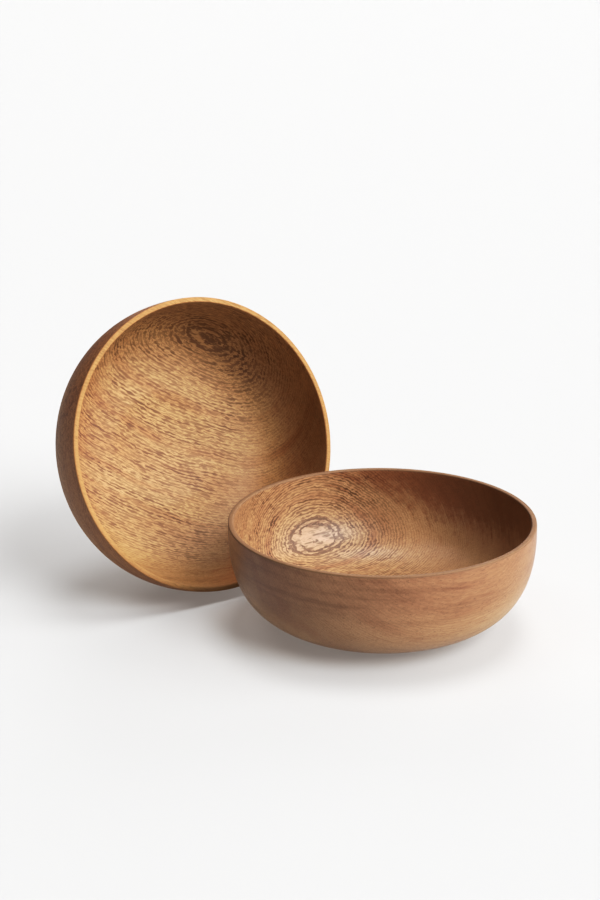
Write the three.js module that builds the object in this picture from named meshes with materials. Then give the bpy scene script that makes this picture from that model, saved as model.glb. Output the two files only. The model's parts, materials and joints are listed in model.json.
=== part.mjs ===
// A pair of lidless go stone bowls, each turned from one blank of wood.
// One bowl stands on its foot; its twin lies tipped on its side next to it, mouth forward.
// Millimetres, +Z up. The origin is the centre of the standing bowl's foot, on the table.

import * as THREE from 'three';

// Driving dimensions of a bowl (both are the same size).
const RIM_RADIUS = 75;
const HEIGHT = 53.8;
const FOOT_RADIUS = 31.3;
const RIM_THICKNESS = 2.6;
const FOOT_THICKNESS = 7;
const RIM_CHAMFER = 0.5;

// The outer wall is one cubic curve: it leaves the foot almost flat and closes in a little at the rim.
const FOOT_RISE = THREE.MathUtils.degToRad(11.3);
const RIM_CLOSING = THREE.MathUtils.degToRad(2.6);
const FOOT_HANDLE = 22.7;
const RIM_HANDLE = 44.4;

// Where the tipped bowl's foot centre lies, which way its mouth faces, and how far it is tipped.
const TIPPED_X = -115.4;
const TIPPED_Y = 90.1;
const TIPPED_HEADING = THREE.MathUtils.degToRad(34.4);
const TIP_ANGLE = THREE.MathUtils.degToRad(72.35);

// Fineness of the turned surface.
const WALL_STEPS = 11;
const FLOOR_STEPS = 3;
const TURN_STEPS = 72;

/** The outer wall in (radius, height), from the foot's edge to the rim. */
function outerWall() {
  const foot = new THREE.Vector2(FOOT_RADIUS, 0);
  const rim = new THREE.Vector2(RIM_RADIUS, HEIGHT);
  const leavingFoot = new THREE.Vector2(Math.cos(FOOT_RISE), Math.sin(FOOT_RISE));
  const leavingRim = new THREE.Vector2(Math.sin(RIM_CLOSING), -Math.cos(RIM_CLOSING));
  return new THREE.CubicBezierCurve(
    foot,
    foot.clone().addScaledVector(leavingFoot, FOOT_HANDLE),
    rim.clone().addScaledVector(leavingRim, RIM_HANDLE),
    rim,
  );
}

/** A point of the inner wall: the outer wall moved in by a thickness that grows towards the foot. */
function innerWallPoint(wall, t) {
  const thickness = RIM_THICKNESS + (FOOT_THICKNESS - RIM_THICKNESS) * (1 - t) ** 2;
  const along = wall.getTangent(t);
  const inward = new THREE.Vector2(-along.y, along.x);
  return wall.getPoint(t).addScaledVector(inward, thickness);
}

/** The inside floor: a shallow dish that meets the inner wall without a corner. */
function floorPoints(wall) {
  const edge = innerWallPoint(wall, 0);
  const slope = Math.tan(FOOT_RISE);
  const points = [];
  for (let i = FLOOR_STEPS - 1; i >= 0; i -= 1) {
    const radius = (edge.x * i) / FLOOR_STEPS;
    const drop = (slope * (edge.x ** 2 - radius ** 2)) / (2 * edge.x);
    points.push(new THREE.Vector2(radius, edge.y - drop));
  }
  return points;
}

/** The flat rim with its two broken edges, from outside to inside. */
function rimPoints() {
  const outside = RIM_RADIUS;
  const inside = RIM_RADIUS - RIM_THICKNESS;
  return [
    new THREE.Vector2(outside, HEIGHT - RIM_CHAMFER),
    new THREE.Vector2(outside - RIM_CHAMFER, HEIGHT),
    new THREE.Vector2(inside + RIM_CHAMFER, HEIGHT),
    new THREE.Vector2(inside, HEIGHT - RIM_CHAMFER),
  ];
}

/** The whole section, from the middle of the foot over the rim to the middle of the inside floor. */
function bowlProfile() {
  const wall = outerWall();
  const outside = [];
  const inside = [];
  for (let i = 0; i < WALL_STEPS; i += 1) {
    const t = i / WALL_STEPS;
    outside.push(wall.getPoint(t));
    inside.unshift(innerWallPoint(wall, t));
  }
  return [new THREE.Vector2(0, 0), ...outside, ...rimPoints(), ...inside, ...floorPoints(wall)];
}

/** One turned bowl standing on the table, centred on the Z axis. */
function makeBowl(name, material) {
  const geometry = new THREE.LatheGeometry(bowlProfile(), TURN_STEPS);
  geometry.rotateX(Math.PI / 2);
  const bowl = new THREE.Mesh(geometry, material);
  bowl.name = name;
  return bowl;
}

/** Height of the tipped bowl's foot centre that makes its wall just touch the table. */
function tippedFootHeight() {
  const depths = bowlProfile().map((p) => p.x * Math.sin(TIP_ANGLE) - p.y * Math.cos(TIP_ANGLE));
  return Math.max(...depths);
}

const paleWood = new THREE.MeshStandardMaterial({ color: 0xb98558, roughness: 0.5, metalness: 0 });
const redWood = new THREE.MeshStandardMaterial({ color: 0xa9784c, roughness: 0.5, metalness: 0 });

const standingBowl = makeBowl('standing_bowl', paleWood);
const tippedBowl = makeBowl('tipped_bowl', redWood);

// Tip the bowl forward first, then turn it to its heading.
tippedBowl.rotation.set(TIP_ANGLE, 0, TIPPED_HEADING, 'ZYX');
tippedBowl.position.set(TIPPED_X, TIPPED_Y, tippedFootHeight());

const group = new THREE.Group();
group.name = 'go_stone_bowl_pair';
group.add(standingBowl, tippedBowl);

export default group;
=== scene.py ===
"""Looks for a pair of turned-wood go stone bowls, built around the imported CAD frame.

Both bowls are lathed as fine, smooth shells and get a solid wood grain: thin pale and dark layers that run
through the whole blank, so that the figure on every surface comes from where the turned shape cuts them.
Lengths are in metres, except in the bowls' section and in the wood's own space, which are in millimetres.
"""

import json
import math

import bpy
from mathutils import Matrix, Vector


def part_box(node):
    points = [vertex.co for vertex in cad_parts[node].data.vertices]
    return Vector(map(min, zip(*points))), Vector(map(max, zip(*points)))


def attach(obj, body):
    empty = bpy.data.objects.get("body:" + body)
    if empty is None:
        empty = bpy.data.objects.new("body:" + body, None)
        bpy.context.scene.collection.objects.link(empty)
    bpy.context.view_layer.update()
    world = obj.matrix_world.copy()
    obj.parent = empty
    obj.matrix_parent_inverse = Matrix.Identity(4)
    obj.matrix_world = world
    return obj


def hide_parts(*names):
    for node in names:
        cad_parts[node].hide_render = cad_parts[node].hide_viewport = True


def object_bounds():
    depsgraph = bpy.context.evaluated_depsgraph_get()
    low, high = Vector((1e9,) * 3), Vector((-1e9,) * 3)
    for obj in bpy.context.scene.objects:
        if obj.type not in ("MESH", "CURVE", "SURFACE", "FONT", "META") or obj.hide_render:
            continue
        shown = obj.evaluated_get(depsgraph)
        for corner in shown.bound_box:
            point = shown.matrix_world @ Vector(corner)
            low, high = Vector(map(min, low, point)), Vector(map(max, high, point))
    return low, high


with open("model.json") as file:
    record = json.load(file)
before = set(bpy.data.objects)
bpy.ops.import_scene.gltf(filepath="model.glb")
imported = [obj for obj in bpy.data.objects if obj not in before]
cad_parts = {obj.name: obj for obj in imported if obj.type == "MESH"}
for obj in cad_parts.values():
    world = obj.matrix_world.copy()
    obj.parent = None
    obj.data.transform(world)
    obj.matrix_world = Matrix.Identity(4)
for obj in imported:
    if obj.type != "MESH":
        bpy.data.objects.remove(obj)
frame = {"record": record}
cad_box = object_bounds()

MM = 0.001
TINY = 1e-6
MOUNTS = {mount["name"]: mount for mount in frame["record"]["mounts"]}

# The bowls' section, in millimetres. The rim's radius and the height come from the frame. The outer wall is
# one curve: it leaves the foot at FOOT_RISE and closes in towards the rim by RIM_CLOSING, and the two handles
# say how far it keeps to each of these directions.
BOX_LOW, BOX_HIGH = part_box("standing_bowl")
RIM_RADIUS = (BOX_HIGH.x - BOX_LOW.x) / 2 / MM
HEIGHT = (BOX_HIGH.z - BOX_LOW.z) / MM
FOOT_RADIUS = 31.3
RIM_THICKNESS = 2.6
FOOT_THICKNESS = 7.0
FOOT_RISE = math.radians(11.3)
RIM_CLOSING = math.radians(2.6)
FOOT_HANDLE = 22.7
RIM_HANDLE = 44.4
OUTER_ROUNDING = 0.5
INNER_ROUNDING = 0.7

# Fineness of the turned surface.
WALL_STEPS = 56
ROUNDING_STEPS = 5
FLAT_STEPS = 10
TURN_STEPS = 320


# ---------------------------------------------------------------- shape

def wall_point(t):
    """The outer wall's point (radius, height) for t from 0 to 1, and the unit vector along the wall."""
    foot = Vector((FOOT_RADIUS, 0))
    rim = Vector((RIM_RADIUS, HEIGHT))
    low = foot + FOOT_HANDLE * Vector((math.cos(FOOT_RISE), math.sin(FOOT_RISE)))
    high = rim + RIM_HANDLE * Vector((math.sin(RIM_CLOSING), -math.cos(RIM_CLOSING)))
    s = 1 - t
    point = s**3 * foot + 3 * s * s * t * low + 3 * s * t * t * high + t**3 * rim
    along = s * s * (low - foot) + 2 * s * t * (high - low) + t * t * (rim - high)
    return point, along.normalized()


def inner_wall_point(t):
    """The outer wall moved in by a thickness that grows towards the foot."""
    point, along = wall_point(t)
    thickness = RIM_THICKNESS + (FOOT_THICKNESS - RIM_THICKNESS) * (1 - t) ** 2
    return point + thickness * Vector((-along.y, along.x))


def rounding(centre, radius, start, end):
    """Points on an arc in the (radius, height) plane, angles in degrees."""
    points = []
    for i in range(ROUNDING_STEPS + 1):
        angle = math.radians(start + (end - start) * i / ROUNDING_STEPS)
        points.append(centre + radius * Vector((math.cos(angle), math.sin(angle))))
    return points


def inside_floor(edge):
    """The inside floor: a shallow dish that starts at the wall's lowest point and is level in the middle."""
    slope = math.tan(FOOT_RISE)
    points = []
    for i in range(FLAT_STEPS - 1, -1, -1):
        radius = edge.x * i / FLAT_STEPS
        points.append(Vector((radius, edge.y - slope * (edge.x**2 - radius**2) / (2 * edge.x))))
    return points


def bowl_profile():
    """The section in two runs: the outside from the foot's middle up, and the inside down to its middle."""
    foot = [Vector((FOOT_RADIUS * i / FLAT_STEPS, 0)) for i in range(FLAT_STEPS)]
    outer_wall = [wall_point(i / WALL_STEPS)[0] for i in range(WALL_STEPS)]
    outer_wall = [p for p in outer_wall if p.y < HEIGHT - OUTER_ROUNDING]
    outer_centre = Vector((RIM_RADIUS - OUTER_ROUNDING, HEIGHT - OUTER_ROUNDING))
    outside = foot + outer_wall + rounding(outer_centre, OUTER_ROUNDING, 0, 90)

    inner_wall = [inner_wall_point(1 - i / WALL_STEPS) for i in range(WALL_STEPS + 1)]
    inner_wall = [p for p in inner_wall if p.y < HEIGHT - INNER_ROUNDING]
    inner_centre = Vector((RIM_RADIUS - RIM_THICKNESS + INNER_ROUNDING, HEIGHT - INNER_ROUNDING))
    inside = rounding(inner_centre, INNER_ROUNDING, 90, 180) + inner_wall + inside_floor(inner_wall[-1])
    return outside, inside


def turned_points(profile):
    """The profile turned about the upright axis: a ring for each of its points but the two ends."""
    points = [(0.0, 0.0, profile[0].y)]
    for p in profile[1:-1]:
        for k in range(TURN_STEPS):
            angle = 2 * math.pi * k / TURN_STEPS
            points.append((p.x * math.cos(angle), p.x * math.sin(angle), p.y))
    points.append((0.0, 0.0, profile[-1].y))
    return points


def turned_faces(rings):
    """Four-sided faces between neighbouring rings, and a fan of triangles at each end."""
    first = 1
    last = first + (rings - 1) * TURN_STEPS
    end = last + TURN_STEPS
    faces = []
    for k in range(TURN_STEPS):
        after = (k + 1) % TURN_STEPS
        faces.append((0, first + after, first + k))
        for low in range(first, last, TURN_STEPS):
            high = low + TURN_STEPS
            faces.append((low + k, low + after, high + after, high + k))
        faces.append((last + k, last + after, end))
    return faces


def lathe(name, outside, inside, place):
    """A closed solid of revolution put in place, in metres.

    Its points remember their place in the bowl's own wood space, in millimetres, and if they are outside.
    """
    profile = outside + inside
    points = turned_points(profile)
    mesh = bpy.data.meshes.new(name)
    mesh.from_pydata([place @ (Vector(p) * MM) for p in points], [], turned_faces(len(profile) - 2))
    mesh.validate()
    mesh.polygons.foreach_set("use_smooth", [True] * len(mesh.polygons))
    wood_space = mesh.attributes.new("wood_space", "FLOAT_VECTOR", "POINT")
    wood_space.data.foreach_set("vector", [c for p in points for c in p])
    on_outside = mesh.attributes.new("on_outside", "FLOAT", "POINT")
    outer_count = 1 + (len(outside) - 1) * TURN_STEPS
    on_outside.data.foreach_set("value", [float(i < outer_count) for i in range(len(points))])
    mesh.update()
    return mesh


def seat(mount_name):
    """Where a bowl stands or lies: its foot's centre and upright axis, from the foot's mount."""
    mount = MOUNTS[mount_name]
    up = -Vector(mount["axis"]).normalized()
    side = Vector((0, 0, 1)).cross(up)
    is_upright = side.length < TINY
    side = Vector((1, 0, 0)) if is_upright else side.normalized()
    turn = Matrix((side, up.cross(side), up)).transposed().to_4x4()
    return Matrix.Translation(Vector(mount["pos_m"])) @ turn


def make_bowl(node, foot_mount, material):
    mesh = lathe(node + "_turned", *bowl_profile(), seat(foot_mount))
    mesh.materials.append(material)
    bowl = bpy.data.objects.new(node + "_turned", mesh)
    bpy.context.scene.collection.objects.link(bowl)
    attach(bowl, node)
    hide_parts(node)
    return bowl


# ---------------------------------------------------------------- material nodes

# A noise's seed moves it by this many cells along each axis.
SEED_SHIFT = (17.3, 9.7, 5.1)
NOISE_GAIN = 3.0


class Nodes:
    """Small helpers that add nodes to one material and join them. They take sockets or plain values."""

    def __init__(self, material):
        material.use_nodes = True
        self.tree = material.node_tree
        self.tree.nodes.clear()

    def add(self, kind, **settings):
        node = self.tree.nodes.new(kind)
        for key, value in settings.items():
            setattr(node, key, value)
        return node

    def put(self, socket, value):
        if isinstance(value, bpy.types.NodeSocket):
            self.tree.links.new(value, socket)
        elif value is not None:
            socket.default_value = value

    def attribute(self, name, output):
        return self.add("ShaderNodeAttribute", attribute_name=name).outputs[output]

    def math(self, operation, a, b=None, c=None):
        node = self.add("ShaderNodeMath", operation=operation)
        for socket, value in zip(node.inputs, (a, b, c)):
            self.put(socket, value)
        return node.outputs[0]

    def distance(self, value, middle):
        return self.math("ABSOLUTE", self.math("SUBTRACT", value, middle))

    def vector_math(self, operation, a, b):
        node = self.add("ShaderNodeVectorMath", operation=operation)
        self.put(node.inputs[0], a)
        self.put(node.inputs[1], b)
        return node.outputs

    def dot(self, a, b):
        return self.vector_math("DOT_PRODUCT", a, b)["Value"]

    def vector(self, x, y, z):
        node = self.add("ShaderNodeCombineXYZ")
        for socket, value in zip(node.inputs, (x, y, z)):
            self.put(socket, value)
        return node.outputs[0]

    def parts(self, vector):
        node = self.add("ShaderNodeSeparateXYZ")
        self.put(node.inputs[0], vector)
        return node.outputs

    def noise(self, where, seed, detail=0.0, roughness=0.5):
        """Noise of unit cell size, moved about so that it averages 0 and mostly stays within -1 to 1."""
        shift = tuple(seed * step for step in SEED_SHIFT)
        node = self.add("ShaderNodeTexNoise", noise_dimensions="3D")
        self.put(node.inputs["Vector"], self.vector_math("ADD", where, shift)[0])
        node.inputs["Scale"].default_value = 1.0
        node.inputs["Detail"].default_value = detail
        node.inputs["Roughness"].default_value = roughness
        centred = self.math("SUBTRACT", node.outputs["Fac"], 0.5)
        return self.math("MULTIPLY", centred, NOISE_GAIN)

    def ramp(self, value, low, high, out_low=0.0, out_high=1.0):
        """Goes smoothly from out_low, where the value is low, to out_high, where it is high."""
        node = self.add("ShaderNodeMapRange", interpolation_type="SMOOTHSTEP")
        for socket, v in zip(node.inputs, (value, low, high, out_low, out_high)):
            self.put(socket, v)
        return node.outputs[0]

    def mix(self, factor, a, b, blend="MIX"):
        node = self.add("ShaderNodeMix", data_type="RGBA", blend_type=blend)
        self.put(node.inputs["Factor"], factor)
        self.put(node.inputs["A"], a)
        self.put(node.inputs["B"], b)
        return node.outputs["Result"]


def colour(red, green, blue):
    """An sRGB colour from 0 to 255, as the linear RGBA that shaders take."""
    linear = []
    for value in (red, green, blue):
        v = value / 255
        linear.append(v / 12.92 if v <= 0.04045 else ((v + 0.055) / 1.055) ** 2.4)
    return (*linear, 1.0)


# ---------------------------------------------------------------- wood

# The wood's unevenness. For each kind: how long its patches are along the fibres, how wide across them and
# how thick through the layers, in millimetres, then its noise's detail, roughness and seed. Where no
# thickness is given, it follows the bowl's own layers or zones.
UNEVENNESS = {
    "line_strength": (24.0, 8.0, None, 1.0, 0.5, 6),
    "zones": (140.0, 60.0, None, 1.5, 0.5, 7),
    "threads": (7.0, 0.45, 0.45, 3.0, 0.6, 8),
    "pores": (2.6, 0.3, 0.3, 0.0, 0.5, 9),
    "inner_ring_gaps": (6.0, 3.0, 3.0, 0.0, 0.5, 13),
    "heart_streaks": (6.0, 1.3, 2.0, 1.0, 0.5, 14),
    "growth": (90.0, 30.0, 2.0, 2.0, 0.6, 15),
    "band_patches": (30.0, 12.0, 8.0, 1.0, 0.5, 16),
    "growth_streaks": (55.0, 3.6, 2.4, 2.0, 0.6, 17),
}
COARSE_SEED = 11
FINE_SEED = 12
BRUSHED_SEED = 18

# The layers have their stated thickness at this depth, in millimetres, and widen away from the heart.
TYPICAL_DEPTH = 8.0
# Patches of weaker lines are this many layers thick, and this is what is left of the lines there.
STRENGTH_LAYERS = 2.6
WEAKEST_LINES = 0.5

# The finer layers between the coarse ones: thickness and dashes against theirs, dark share and raggedness.
FINE_THICKNESS = 0.43
FINE_LENGTH = 0.6
FINE_WIDTH = 0.7
FINE_SHARE = 0.4
FINE_RAGGED = 0.7

# Shares of the heart's size at which its inside starts to end, and has ended.
HEART_CORE = 0.9
HEART_EDGE = 1.25
# Half widths of the heart's dark ring, in millimetres: its core, and where it has faded out.
RING_CORE = 0.12
RING_EDGE = 0.26
# The broken ring inside it, against the heart's size: its place, its core, and where it has faded out.
INNER_RING = 0.42
INNER_RING_CORE = 0.06
INNER_RING_EDGE = 0.17
INNER_RING_DARKNESS = 0.95
STREAK_DARKNESS = 0.8
HEART_TONE_SHARE = 0.8

# The strongest tones of the growth zones, and a band's core and edge against its stated half depth.
ZONE_RED = 0.45
ZONE_GOLD = 0.5
BAND_CORE = 0.2
BAND_EDGE = 1.6

# How far the growth streaks carry the edge of a patch of painted shade, in millimetres, and what the outside
# is spared of it.
SHADE_EDGE_STREAKS = 15.0
OUTSIDE_SPARED_SHADE = 0.7

# The long soft streaks round the outside, in millimetres, and how much they rise across the bowl.
BRUSHED_LENGTH = 48.0
BRUSHED_WIDTH = 3.2
BRUSHED_RISE = 0.04
BRUSHED_SHARE = 0.6

# Heights between which the outside darkens, in millimetres, and how much of the darkening the foot has:
# painted shade that deepens towards the rim, while the foot is kept light as painted light bounced up from
# the floor.
OUTSIDE_SHADE_FROM = 15.0
OUTSIDE_SHADE_FULL = 43.0
FOOT_SHADE = 0.1
# How far below the top the rim's darker tone starts, and where it is full, in millimetres.
RIM_TONE_FROM = 1.2
RIM_TONE_FULL = 0.4

# How strongly the threads and the pores colour the wood.
THREAD_SHARE = 0.35
PORE_SHARE = 0.5

# How much rougher the dark lines, the rim and the threads are.
DARK_ROUGHER = 0.07
RIM_ROUGHER = 0.35
THREAD_ROUGHER = 0.03
WOOD_IOR = 1.45

# The relief's height in metres, its strength, and how far threads, pores and dark lines rise in it.
RELIEF_HEIGHT = 0.00006
RELIEF_STRENGTH = 0.35
THREAD_RELIEF = 0.5
PORE_RELIEF = -1.0
LINE_RELIEF = -0.4


class Grain:
    """A bowl's wood: every point's place along the fibres, across them and through the layers."""

    def __init__(self, nodes, look):
        self.nodes = nodes
        self.look = look
        self.place = nodes.attribute("wood_space", "Vector")
        self.on_outside = nodes.attribute("on_outside", "Fac")
        from_heart = nodes.vector_math("SUBTRACT", self.place, look["centre"])[0]
        # The three axes stand at right angles.
        fibre = Vector(look["fibre"]).normalized()
        through = Vector(look["through"])
        through = (through - fibre * through.dot(fibre)).normalized()
        self.along = nodes.dot(from_heart, fibre)
        self.across = nodes.dot(from_heart, through.cross(fibre))
        self.depth = nodes.dot(from_heart, through)
        for i, (amount, *patch) in enumerate(look["wander"]):
            self.depth = nodes.math("MULTIPLY_ADD", self.noise(patch, i), amount, self.depth)
        self.away = nodes.math("ABSOLUTE", self.depth)

    def noise(self, patch, seed, detail=0.0, roughness=0.5):
        """Noise with patches of the given length, width and thickness, in millimetres."""
        axes = (self.along, self.across, self.depth)
        where = [self.nodes.math("DIVIDE", axis, size) for axis, size in zip(axes, patch)]
        return self.nodes.noise(self.nodes.vector(*where), self.look["seed"] + seed, detail, roughness)

    def uneven(self, kind, thickness=None):
        """Noise of one of the kinds of unevenness."""
        long, wide, thick, detail, roughness, seed = UNEVENNESS[kind]
        return self.noise((long, wide, thickness or thick), seed, detail, roughness)


def broken_layers(grain, spread, thickness, dash, share, ragged, seed):
    """How dark the layers of one thickness are: lines that swell, thin out and break along the fibres."""
    n = grain.nodes
    phase = n.math("FRACT", n.math("DIVIDE", spread, thickness))
    peak = n.math("MULTIPLY", n.distance(phase, 0.5), 2.0)
    split = n.math("MULTIPLY_ADD", grain.noise((*dash, thickness * 2), seed), ragged, share)
    soft = grain.look["soft"]
    return n.math("SUBTRACT", 1.0, n.ramp(n.math("SUBTRACT", peak, split), -soft, soft))


def layer_lines(grain):
    """The dark lines of the coarse and the fine layers, weaker far from the heart."""
    n = grain.nodes
    look = grain.look
    widening = look["widening"]
    scale = TYPICAL_DEPTH ** (1.0 - widening) / widening
    spread = n.math("MULTIPLY", n.math("POWER", grain.away, widening), scale)
    long, wide = look["dash"]
    thickness = look["layer"]
    coarse = broken_layers(
        grain, spread, thickness, (long, wide), look["dark_share"], look["ragged"], COARSE_SEED
    )
    fine_dash = (long * FINE_LENGTH, wide * FINE_WIDTH)
    fine = broken_layers(
        grain, spread, thickness * FINE_THICKNESS, fine_dash, FINE_SHARE, FINE_RAGGED, FINE_SEED
    )
    patches = grain.uneven("line_strength", thickness * STRENGTH_LAYERS)
    strength = n.ramp(patches, -0.8, 0.8, WEAKEST_LINES, 1.0)
    lines = n.math("MAXIMUM", n.math("MULTIPLY", coarse, strength), n.math("MULTIPLY", fine, look["fine"]))
    for reach, (near, far, rest) in ((grain.away, look["fade"]), (grain.along, look["far_along"])):
        lines = n.math("MULTIPLY", lines, n.ramp(reach, near, far, 1.0, rest))
    return lines


def with_heart(grain, lines):
    """The lines with the heart of the figure in place of theirs, and how far each point is inside the heart.

    The heart has one clean dark ring round it, and a broken ring and loose streaks inside.
    """
    n = grain.nodes
    heart = grain.look["heart"]
    inside = n.ramp(grain.away, heart * HEART_CORE, heart * HEART_EDGE, 1.0, 0.0)
    ring = n.ramp(n.distance(grain.away, heart), RING_CORE, RING_EDGE, 1.0, 0.0)
    core = heart * INNER_RING_CORE
    edge = heart * INNER_RING_EDGE
    inner_ring = n.ramp(n.distance(grain.away, heart * INNER_RING), core, edge, INNER_RING_DARKNESS, 0.0)
    gaps = n.ramp(grain.uneven("inner_ring_gaps"), -0.6, -0.1)
    streaks = n.ramp(grain.uneven("heart_streaks"), -0.15, 0.5, 0.0, STREAK_DARKNESS)
    heart_lines = n.math("MAXIMUM", n.math("MULTIPLY", inner_ring, gaps), streaks)
    lines = n.math("MULTIPLY", lines, n.math("SUBTRACT", 1.0, inside))
    lines = n.math("MAXIMUM", lines, n.math("MULTIPLY", heart_lines, inside))
    lines = n.math("MAXIMUM", lines, n.math("MULTIPLY", ring, grain.look["ring"]))
    return lines, inside


def growth_tones(grain, growth):
    """How red and how golden the wood is: wide growth zones, finer growth, and single patchy bands."""
    n = grain.nodes
    zones = grain.uneven("zones", grain.look["zone"])
    reddish = n.ramp(zones, 0.0, 0.9, 0.0, ZONE_RED)
    golden = n.ramp(n.math("MULTIPLY", zones, -1.0), 0.0, 0.9, 0.0, ZONE_GOLD)
    tones = {
        "red": n.math("MAXIMUM", reddish, growth),
        "gold": n.math("MAXIMUM", golden, n.math("MULTIPLY", growth, -1.0)),
    }
    patchy = n.ramp(grain.uneven("band_patches"), -0.8, 0.6, 0.3, 1.0)
    for tone, middle, reach, share in grain.look["bands"]:
        away = n.distance(grain.depth, middle)
        band = n.ramp(away, reach * BAND_CORE, reach * BAND_EDGE, share, 0.0)
        tones[tone] = n.math("MAXIMUM", tones[tone], n.math("MULTIPLY", band, patchy))
    return tones


def painted_shade(grain, base, growth):
    """The colour darkened in patches towards some sides of the bowl, with streaky edges and weaker on the
    outside: painted shade where walls fall into shade and where one bowl shadows the other.
    """
    n = grain.nodes
    shade_weight = n.math("MULTIPLY_ADD", grain.on_outside, -OUTSIDE_SPARED_SHADE, 1.0)
    for direction, start, end, share in grain.look["painted_shades"]:
        reach = n.math("MULTIPLY_ADD", growth, SHADE_EDGE_STREAKS, n.dot(grain.place, Vector(direction)))
        shade = n.math("MULTIPLY", n.ramp(reach, start, end, 0.0, share), shade_weight)
        # The painted shade takes the red tone's colour.
        base = n.mix(shade, base, grain.look["red"], "MULTIPLY")
    return base


def outer_shade_and_streaks(grain, base):
    """The colour, darkened on the outside towards the rim, with long streaks round it. The darkening is
    partly a darker outside tone and partly painted shade; the foot is kept light as painted light bounced up
    from the floor.
    """
    n = grain.nodes
    look = grain.look
    x, y, height = n.parts(grain.place)
    level = n.math("MULTIPLY_ADD", x, BRUSHED_RISE, height)
    round_rim = n.vector(
        n.math("DIVIDE", x, BRUSHED_LENGTH),
        n.math("DIVIDE", y, BRUSHED_LENGTH),
        n.math("DIVIDE", level, BRUSHED_WIDTH),
    )
    streaks = n.noise(round_rim, look["seed"] + BRUSHED_SEED, detail=3.0, roughness=0.6)
    brushed = n.ramp(streaks, -0.3, 0.8, 0.0, BRUSHED_SHARE)
    # Painted shade: the outside darkens towards the rim, and the foot stays light as painted floor bounce
    # light.
    shade_rising = n.ramp(height, OUTSIDE_SHADE_FROM, OUTSIDE_SHADE_FULL, FOOT_SHADE, 1.0)
    outer_shade = n.math("MULTIPLY", grain.on_outside, shade_rising)
    base = n.mix(outer_shade, base, look["outside"], "MULTIPLY")
    return n.mix(n.math("MULTIPLY", brushed, outer_shade), base, look["streak"], "MULTIPLY")


def wood_material(name, look):
    """Solid wood: thin pale and dark layers across the grain, broken into dashes along it."""
    material = bpy.data.materials.new(name)
    n = Nodes(material)
    grain = Grain(n, look)
    darkness, in_heart = with_heart(grain, layer_lines(grain))
    base = n.mix(n.math("MULTIPLY", in_heart, HEART_TONE_SHARE), look["pale"], look["heart_tone"])
    base = n.mix(darkness, base, look["dark"])

    growth = n.math("ADD", grain.uneven("growth"), grain.uneven("growth_streaks"))
    growth = n.math("MULTIPLY", growth, look["growth"])
    tones = growth_tones(grain, growth)
    base = n.mix(tones["red"], base, look["red"], "MULTIPLY")
    base = n.mix(tones["gold"], base, look["gold"], "SCREEN")
    base = painted_shade(grain, base, growth)

    # Fine threads run along the fibres. The rim's top is darkened, partly as its own tone and partly as
    # painted shade, and short dark pores lie over all.
    threads = grain.uneven("threads")
    base = n.mix(n.ramp(threads, -0.8, 0.8, 0.0, THREAD_SHARE), base, look["thread"], "MULTIPLY")
    base = outer_shade_and_streaks(grain, base)
    height = n.parts(grain.place)["Z"]
    rim = n.ramp(height, HEIGHT - RIM_TONE_FROM, HEIGHT - RIM_TONE_FULL, 0.0, look["rim_share"])
    base = n.mix(rim, base, look["rim"])
    pores = n.ramp(grain.uneven("pores"), 0.55, 0.8)
    base = n.mix(n.math("MULTIPLY", pores, PORE_SHARE), base, look["pore"])

    rough = n.math("MULTIPLY_ADD", darkness, DARK_ROUGHER, look["roughness"])
    rough = n.math("MULTIPLY_ADD", rim, RIM_ROUGHER, rough)
    rough = n.math("MULTIPLY_ADD", threads, THREAD_ROUGHER, rough)

    relief = n.math("MULTIPLY", threads, THREAD_RELIEF)
    relief = n.math("MULTIPLY_ADD", pores, PORE_RELIEF, relief)
    relief = n.math("MULTIPLY_ADD", darkness, LINE_RELIEF, relief)
    bump = n.add("ShaderNodeBump")
    bump.inputs["Strength"].default_value = RELIEF_STRENGTH
    bump.inputs["Distance"].default_value = RELIEF_HEIGHT
    n.put(bump.inputs["Height"], relief)

    shader = n.add("ShaderNodeBsdfPrincipled")
    shader.inputs["IOR"].default_value = WOOD_IOR
    n.put(shader.inputs["Base Color"], base)
    n.put(shader.inputs["Roughness"], rough)
    n.put(shader.inputs["Normal"], bump.outputs[0])
    output = n.add("ShaderNodeOutputMaterial")
    n.put(output.inputs["Surface"], shader.outputs[0])
    return material
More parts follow.
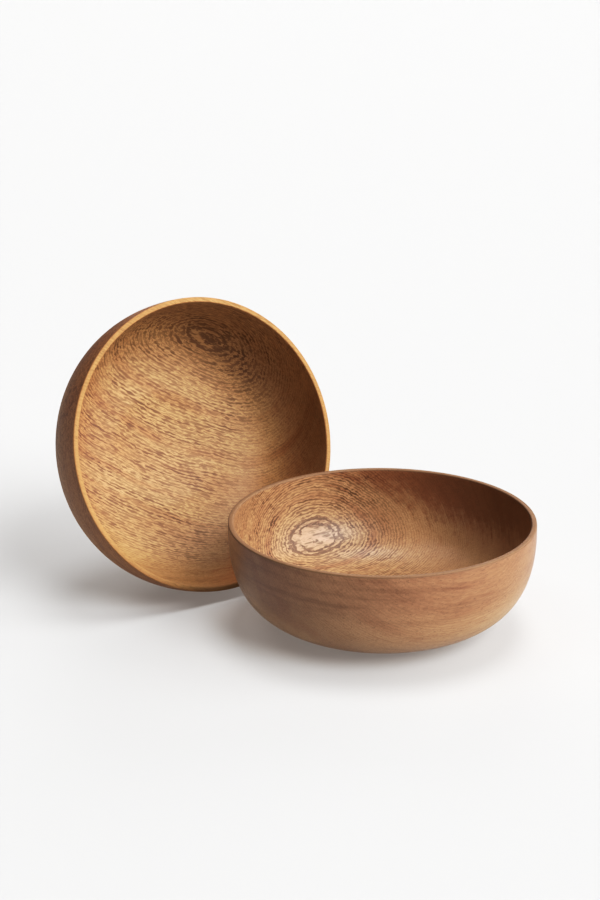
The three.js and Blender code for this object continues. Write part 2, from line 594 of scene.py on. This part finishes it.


# Each bowl's wood. Places and lengths are in millimetres from the middle of its foot, with +Z up its axis.
#   seed                      added to the seed of every kind of unevenness
#   centre, fibre, through    the heart's place, and the directions of the fibres and through the layers
#   wander                    how far the layers wander, and the length, width and thickness of each wave
#   layer, widening           the layers' thickness, and the power of the depth that spaces them
#   dash, soft, dark_share    a dash's length and width, its softness, and how much of a layer is dark
#   ragged, fine              how uneven the dashes are, and how strong the fine layers are
#   fade, far_along           where the lines weaken, away from the heart and along the fibres, and to what
#   heart, ring               the heart's half depth, and how dark its ring is
#   zone, growth              the growth zones' thickness, and how strong the finer growth is
#   bands                     tone, depth, half depth and strength of each single band
#   painted_shades            direction, reach where each patch of painted shade starts and where it is full, and strength
#   pale, heart_tone, dark    the wood between the lines, the same inside the heart, and the lines
#   red, gold                 the colours that are multiplied and screened over the wood for its tones
#   thread, pore              the threads' shade, and the pores
#   rim, rim_share            the rim top's darker tone, partly its own and partly painted shade, and how much of it shows
#   outside, streak           the outside's darker tone, partly painted shade, and the streaks round it
#   roughness                 of the surface between the lines
STANDING_WOOD = {
    "seed": 1.0,
    "centre": (-33.0, 56.9, 21.2),
    "fibre": (0.86, 0.537, 0.05),
    "through": (0.413, -0.713, 0.554),
    "wander": (
        (0.5, 40.0, 20.0, 20.0),
        (0.26, 12.0, 6.0, 6.0),
        (0.20, 4.0, 2.2, 2.0),
        (0.12, 1.6, 0.9, 1.0),
    ),
    "layer": 0.76,
    "widening": 0.8,
    "dash": (3.2, 1.2),
    "soft": 0.34,
    "dark_share": 0.50,
    "ragged": 0.5,
    "fine": 0.3,
    "fade": (24.0, 62.0, 0.22),
    "far_along": (22.0, 56.0, 0.25),
    "heart": 1.25,
    "ring": 0.9,
    "zone": 9.0,
    "growth": 0.35,
    "bands": (
        ("red", 6.3, 1.2, 0.5),
        ("red", 12.0, 3.0, 0.25),
        ("gold", 17.8, 2.2, 0.9),
        ("red", 40.0, 16.0, 0.25),
        # The deepest red band darkens the right wall inside: partly a growth band, partly painted shade.
        ("red", 76.0, 17.0, 0.5),
    ),
    # Painted shade on the upper back and right walls inside, and a faint one towards the upper left.
    "painted_shades": (
        ((0.35, 0.30, 0.90), 53.0, 68.0, 0.82),
        ((-1.0, 0.0, 0.30), 46.0, 80.0, 0.15),
    ),
    "pale": colour(172, 139, 104),
    "heart_tone": colour(164, 132, 102),
    "dark": colour(88, 60, 35),
    "red": colour(196, 154, 136),
    "gold": colour(34, 26, 14),
    "thread": colour(185, 152, 125),
    "pore": colour(60, 38, 24),
    "rim": colour(108, 81, 56),
    "rim_share": 0.85,
    "outside": colour(220, 206, 205),
    "streak": colour(190, 172, 160),
    "roughness": 0.38,
}

TIPPED_WOOD = {
    "seed": 31.0,
    "centre": (27.1, 56.1, 16.8),
    "fibre": (0.85, -0.52, 0.0),
    "through": (-0.304, -0.628, 0.71),
    "wander": (
        (0.6, 50.0, 22.0, 20.0),
        (0.22, 16.0, 5.0, 6.0),
        (0.22, 3.6, 1.2, 2.0),
        (0.10, 1.8, 0.6, 1.0),
    ),
    "layer": 1.0,
    "widening": 0.9,
    "dash": (4.0, 1.4),
    "soft": 0.17,
    "dark_share": 0.40,
    "ragged": 0.62,
    "fine": 0.5,
    "fade": (60.0, 95.0, 0.5),
    "far_along": (34.0, 58.0, 0.5),
    "heart": 0.5,
    "ring": 0.9,
    "zone": 6.0,
    "growth": 0.28,
    "bands": (
        ("red", 2.0, 9.0, 0.3),
        ("red", 31.5, 2.6, 0.6),
        ("gold", 27.5, 1.5, 0.8),
        ("red", 43.0, 10.0, 0.4),
        ("red", 66.0, 5.0, 0.3),
    ),
    # Painted shade: the right wall inside, the crescent under the upper left rim, and the shadow the standing
    # bowl casts on the side next to it.
    "painted_shades": (
        ((1.0, 0.0, 0.4), 60.0, 84.0, 0.35),
        ((-0.9, 0.3, 0.3), 18.0, 72.0, 0.5),
        ((0.5, -0.9, 0.3), 64.0, 88.0, 0.85),
    ),
    "pale": colour(178, 143, 99),
    "heart_tone": colour(178, 143, 99),
    "dark": colour(106, 74, 44),
    "red": colour(206, 162, 124),
    "gold": colour(28, 18, 8),
    "thread": colour(200, 168, 132),
    "pore": colour(80, 50, 28),
    "rim": colour(158, 120, 75),
    "rim_share": 0.6,
    "outside": colour(228, 204, 190),
    "streak": colour(205, 190, 180),
    "roughness": 0.55,
}


# ---------------------------------------------------------------- studio

FLOOR_RADIUS = 40.0
FLOOR_SIDES = 96
FLOOR_GAP = 0.0001
FLOOR_TINT = (0.357, 0.365, 0.370, 1.0)
FLOOR_ROUGHNESS = 0.9
FLOOR_GLOW = (1.0, 0.91, 0.85, 1.0)
FLOOR_GLOW_STRENGTH = 0.185

# Heading, height and softness in degrees, and strength. Heading is counted from +X towards +Y.
LIGHTS = {
    "window": (45.0, 13.0, 35.0, 1.0),
    "right": (0.0, 22.0, 34.0, 1.1),
    "high_right": (0.0, 44.0, 34.0, 0.75),
    "front_right": (-45.0, 40.0, 34.0, 3.7),
    "low_front": (-22.0, 11.0, 30.0, 1.5),
    "ceiling": (45.0, 80.0, 24.0, 1.7),
    "high_left": (180.0, 65.0, 30.0, 0.4),
    "back": (90.0, 25.0, 30.0, 0.7),
}

# The backdrop's and the sky's strength, and the sines of the heights at which one turns into the other.
BACKDROP_STRENGTH = 0.10
SKY_STRENGTH = 0.05
BACKDROP_TOP = 0.05
SKY_START = 0.30

# The camera stands about 0.9 m away, a little to the left, and looks down. Angles are in degrees.
CAMERA_PLACE = (-0.03968, -0.82094, 0.36434)
CAMERA_DOWN = 18.536
CAMERA_ROLL = -0.465
LENS_MM = 72.0
SENSOR_MM = 36.0

# Shades that the view darkens or lightens: brightness before and after.
TONE_POINTS = ((0.1, 0.07), (0.5, 0.55))
ALL_CHANNELS = 3


def floor_material(name):
    """Translucent white acrylic, lit a little from below by a slightly warm light."""
    material = bpy.data.materials.new(name)
    n = Nodes(material)
    shader = n.add("ShaderNodeBsdfPrincipled")
    shader.inputs["Base Color"].default_value = FLOOR_TINT
    shader.inputs["Roughness"].default_value = FLOOR_ROUGHNESS
    shader.inputs["Emission Color"].default_value = FLOOR_GLOW
    shader.inputs["Emission Strength"].default_value = FLOOR_GLOW_STRENGTH
    output = n.add("ShaderNodeOutputMaterial")
    n.put(output.inputs["Surface"], shader.outputs[0])
    return material


def make_floor():
    """A wide round floor, just under the bowls."""
    corners = []
    for k in range(FLOOR_SIDES):
        angle = 2 * math.pi * k / FLOOR_SIDES
        corners.append((FLOOR_RADIUS * math.cos(angle), FLOOR_RADIUS * math.sin(angle), 0.0))
    mesh = bpy.data.meshes.new("floor")
    mesh.from_pydata(corners, [], [tuple(range(FLOOR_SIDES))])
    mesh.materials.append(floor_material("floor_acrylic"))
    floor = bpy.data.objects.new("floor", mesh)
    bpy.context.scene.collection.objects.link(floor)
    floor.location.z = cad_box[0][2] - FLOOR_GAP


def make_sun(name, heading, height, softness, strength):
    """A far, soft, white light, which stands in the direction given."""
    data = bpy.data.lights.new(name, "SUN")
    data.angle = math.radians(softness)
    data.energy = strength
    light = bpy.data.objects.new(name, data)
    turn = math.radians(heading)
    rise = math.radians(height)
    towards = Vector((math.cos(rise) * math.cos(turn), math.cos(rise) * math.sin(turn), math.sin(rise)))
    light.rotation_euler = towards.to_track_quat("Z", "Y").to_euler()
    bpy.context.scene.collection.objects.link(light)


def make_world():
    """A dim sky over a backdrop that stands all round, brightest at the horizon."""
    world = bpy.data.worlds.new("studio")
    world.use_nodes = True
    tree = world.node_tree
    background = tree.nodes["Background"]
    where = tree.nodes.new("ShaderNodeTexCoord")
    split = tree.nodes.new("ShaderNodeSeparateXYZ")
    level = tree.nodes.new("ShaderNodeMapRange")
    level.interpolation_type = "SMOOTHSTEP"
    level.inputs["From Min"].default_value = BACKDROP_TOP
    level.inputs["From Max"].default_value = SKY_START
    level.inputs["To Min"].default_value = BACKDROP_STRENGTH
    level.inputs["To Max"].default_value = SKY_STRENGTH
    tree.links.new(where.outputs["Generated"], split.inputs[0])
    tree.links.new(split.outputs["Z"], level.inputs["Value"])
    tree.links.new(level.outputs[0], background.inputs["Strength"])
    background.inputs["Color"].default_value = (1.0, 1.0, 1.0, 1.0)
    bpy.context.scene.world = world


def make_camera():
    """The photograph's viewing angle."""
    data = bpy.data.cameras.new("camera")
    data.lens = LENS_MM
    data.sensor_width = SENSOR_MM
    camera = bpy.data.objects.new("camera", data)
    tilt = Matrix.Rotation(math.pi / 2 - math.radians(CAMERA_DOWN), 4, "X")
    roll = Matrix.Rotation(math.radians(CAMERA_ROLL), 4, "Z")
    look = tilt @ roll
    camera.matrix_world = Matrix.Translation(CAMERA_PLACE) @ look
    bpy.context.scene.collection.objects.link(camera)
    bpy.context.scene.camera = camera


def set_tone():
    """A mild contrast curve: darker shades, and a soft shoulder under white."""
    view = bpy.context.scene.view_settings
    view.view_transform = "Standard"
    view.use_curve_mapping = True
    tone = view.curve_mapping.curves[ALL_CHANNELS]
    for before, after in TONE_POINTS:
        tone.points.new(before, after)
    view.curve_mapping.update()


make_bowl("standing_bowl", "standing_foot", wood_material("standing_bowl_wood", STANDING_WOOD))
make_bowl("tipped_bowl", "tipped_foot", wood_material("tipped_bowl_wood", TIPPED_WOOD))
make_camera()
make_floor()
make_world()
for light_name, light_facts in LIGHTS.items():
    make_sun(light_name, *light_facts)
set_tone()
